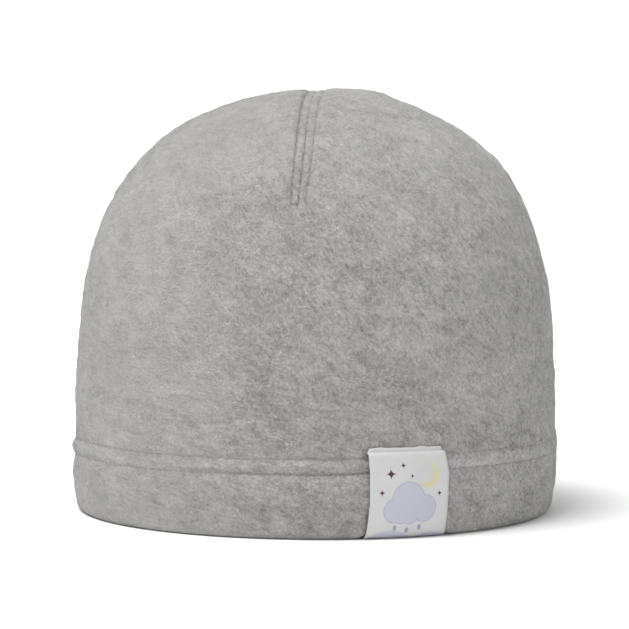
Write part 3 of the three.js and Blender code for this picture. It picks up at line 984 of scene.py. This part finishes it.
shape = either(tree, [star(tree, x, y, centre, size) for centre, size in stars])
ground = printed(tree, ground, shape, linear(74, 42, 62))
drops = [((-4.3, 23.3), 0.55), ((-0.5, 24.0), 0.55), ((3.4, 23.3), 0.55)]
shape = either(tree, [disc(tree, x, y, centre, radius, tall=1.5) for centre, radius in drops])
ground = printed(tree, ground, shape, linear(150, 148, 166))
tree.links.new(ground, shader.inputs["Base Color"])
weave = tree.nodes.new("ShaderNodeTexWave")
weave.bands_direction = "Y"
weave.inputs["Scale"].default_value = 32
weave.inputs["Distortion"].default_value = 0.6
tree.links.new(uv_map.outputs["UV"], weave.inputs["Vector"])
bump = tree.nodes.new("ShaderNodeBump")
bump.inputs["Strength"].default_value = 0.35
bump.inputs["Distance"].default_value = 0.12 * MM
selvedge = math_node(tree, "GREATER_THAN", math_node(tree, "ABSOLUTE", x), label_width / 2 - 0.7)
thick_edge = math_node(tree, "MULTIPLY", selvedge, 0.9)
height = math_node(tree, "MULTIPLY_ADD", weave.outputs["Fac"], 0.12, thick_edge)
ripples = place_noise(tree, satin_place, 6, detail=1, stretch=(3, 3, 1))
tree.links.new(math_node(tree, "MULTIPLY_ADD", ripples, 1.5, height), bump.inputs["Height"])
tree.links.new(bump.outputs["Normal"], shader.inputs["Normal"])
shader.inputs["Roughness"].default_value = 0.42
shader.inputs["Specular IOR Level"].default_value = 0.35
shader.inputs["Sheen Weight"].default_value = 0.1
ribbon_label.data.materials.append(satin)

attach(ribbon_label, "root")
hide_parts("label")


# Studio
# A pale floor that curves up behind the hat, one large soft light from the upper left, a weak one from
# the right and one on the backdrop. The camera has the photo's angle: almost level, a little to the
# right of the seam.

floor_half_width, floor_front, floor_back, wall_top = 3, -2.5, 1.6, 4
sweep_radius = 0.9
profile = [(floor_front, 0), (floor_back, 0)]
for angle in np.radians(np.arange(7.5, 91, 7.5)):
    profile.append((floor_back + sweep_radius * math.sin(angle), sweep_radius * (1 - math.cos(angle))))
profile.append((floor_back + sweep_radius, wall_top))
bm = bmesh.new()
floor_line = [bm.verts.new((-floor_half_width, y, z)) for y, z in profile]
floor_edges = [bm.edges.new(pair) for pair in zip(floor_line, floor_line[1:])]
grown = bmesh.ops.extrude_edge_only(bm, edges=floor_edges)["geom"]
far_side = [part for part in grown if isinstance(part, bmesh.types.BMVert)]
bmesh.ops.translate(bm, verts=far_side, vec=(2 * floor_half_width, 0, 0))
bmesh.ops.recalc_face_normals(bm, faces=bm.faces)
for face in bm.faces:
    face.smooth = True
floor_mesh = bpy.data.meshes.new("studio_floor")
bm.to_mesh(floor_mesh)
bm.free()
studio_floor = bpy.data.objects.new("studio_floor", floor_mesh)
bpy.context.collection.objects.link(studio_floor)
paper, tree, shader = new_material("white_paper")
shader.inputs["Base Color"].default_value = (0.9, 0.9, 0.9, 1)
shader.inputs["Roughness"].default_value = 0.9
studio_floor.data.materials.append(paper)


def soft_light(name, place, aim, size, power):
    light = bpy.data.lights.new(name, "AREA")
    light.shape = "DISK"
    light.size = size
    light.energy = power
    lamp = bpy.data.objects.new(name, light)
    lamp.location = place
    lamp.rotation_euler = (Vector(aim) - Vector(place)).to_track_quat("-Z", "Y").to_euler()
    bpy.context.collection.objects.link(lamp)


soft_light("key_light", (-0.57, -0.5, 1.8), (0, 0, 0.06), 1.1, 37)
soft_light("fill_light", (0.8, -1.6, 0.8), (0, 0, 0.06), 1.2, 5)
soft_light("backdrop_light", (0, 0.5, 1.4), (0, 2.5, 0.5), 1.2, 20)

world = bpy.data.worlds.new("studio")
world.use_nodes = True
world.node_tree.nodes["Background"].inputs["Color"].default_value = (1, 1, 1, 1)
world.node_tree.nodes["Background"].inputs["Strength"].default_value = 0.45
bpy.context.scene.world = world
bpy.context.scene.view_settings.view_transform = "Standard"

photo_side = 629
pixels_per_metre = 3243
camera_distance = 0.73
azimuth, elevation, roll = math.radians(4.5), math.radians(2.3), math.radians(0.35)
aim = Vector((-0.0003, 0, 0.0589))
level = math.cos(elevation)
back = Vector((math.sin(azimuth) * level, -math.cos(azimuth) * level, math.sin(elevation)))
looking = (-back).to_track_quat("-Z", "Y").to_matrix() @ Matrix.Rotation(roll, 3, "Z")
camera = bpy.data.objects.new("camera", bpy.data.cameras.new("camera"))
camera.data.lens = camera.data.sensor_width * pixels_per_metre * camera_distance / photo_side
camera.location = aim + back * camera_distance
camera.rotation_euler = looking.to_euler()
bpy.context.collection.objects.link(camera)
bpy.context.scene.camera = camera
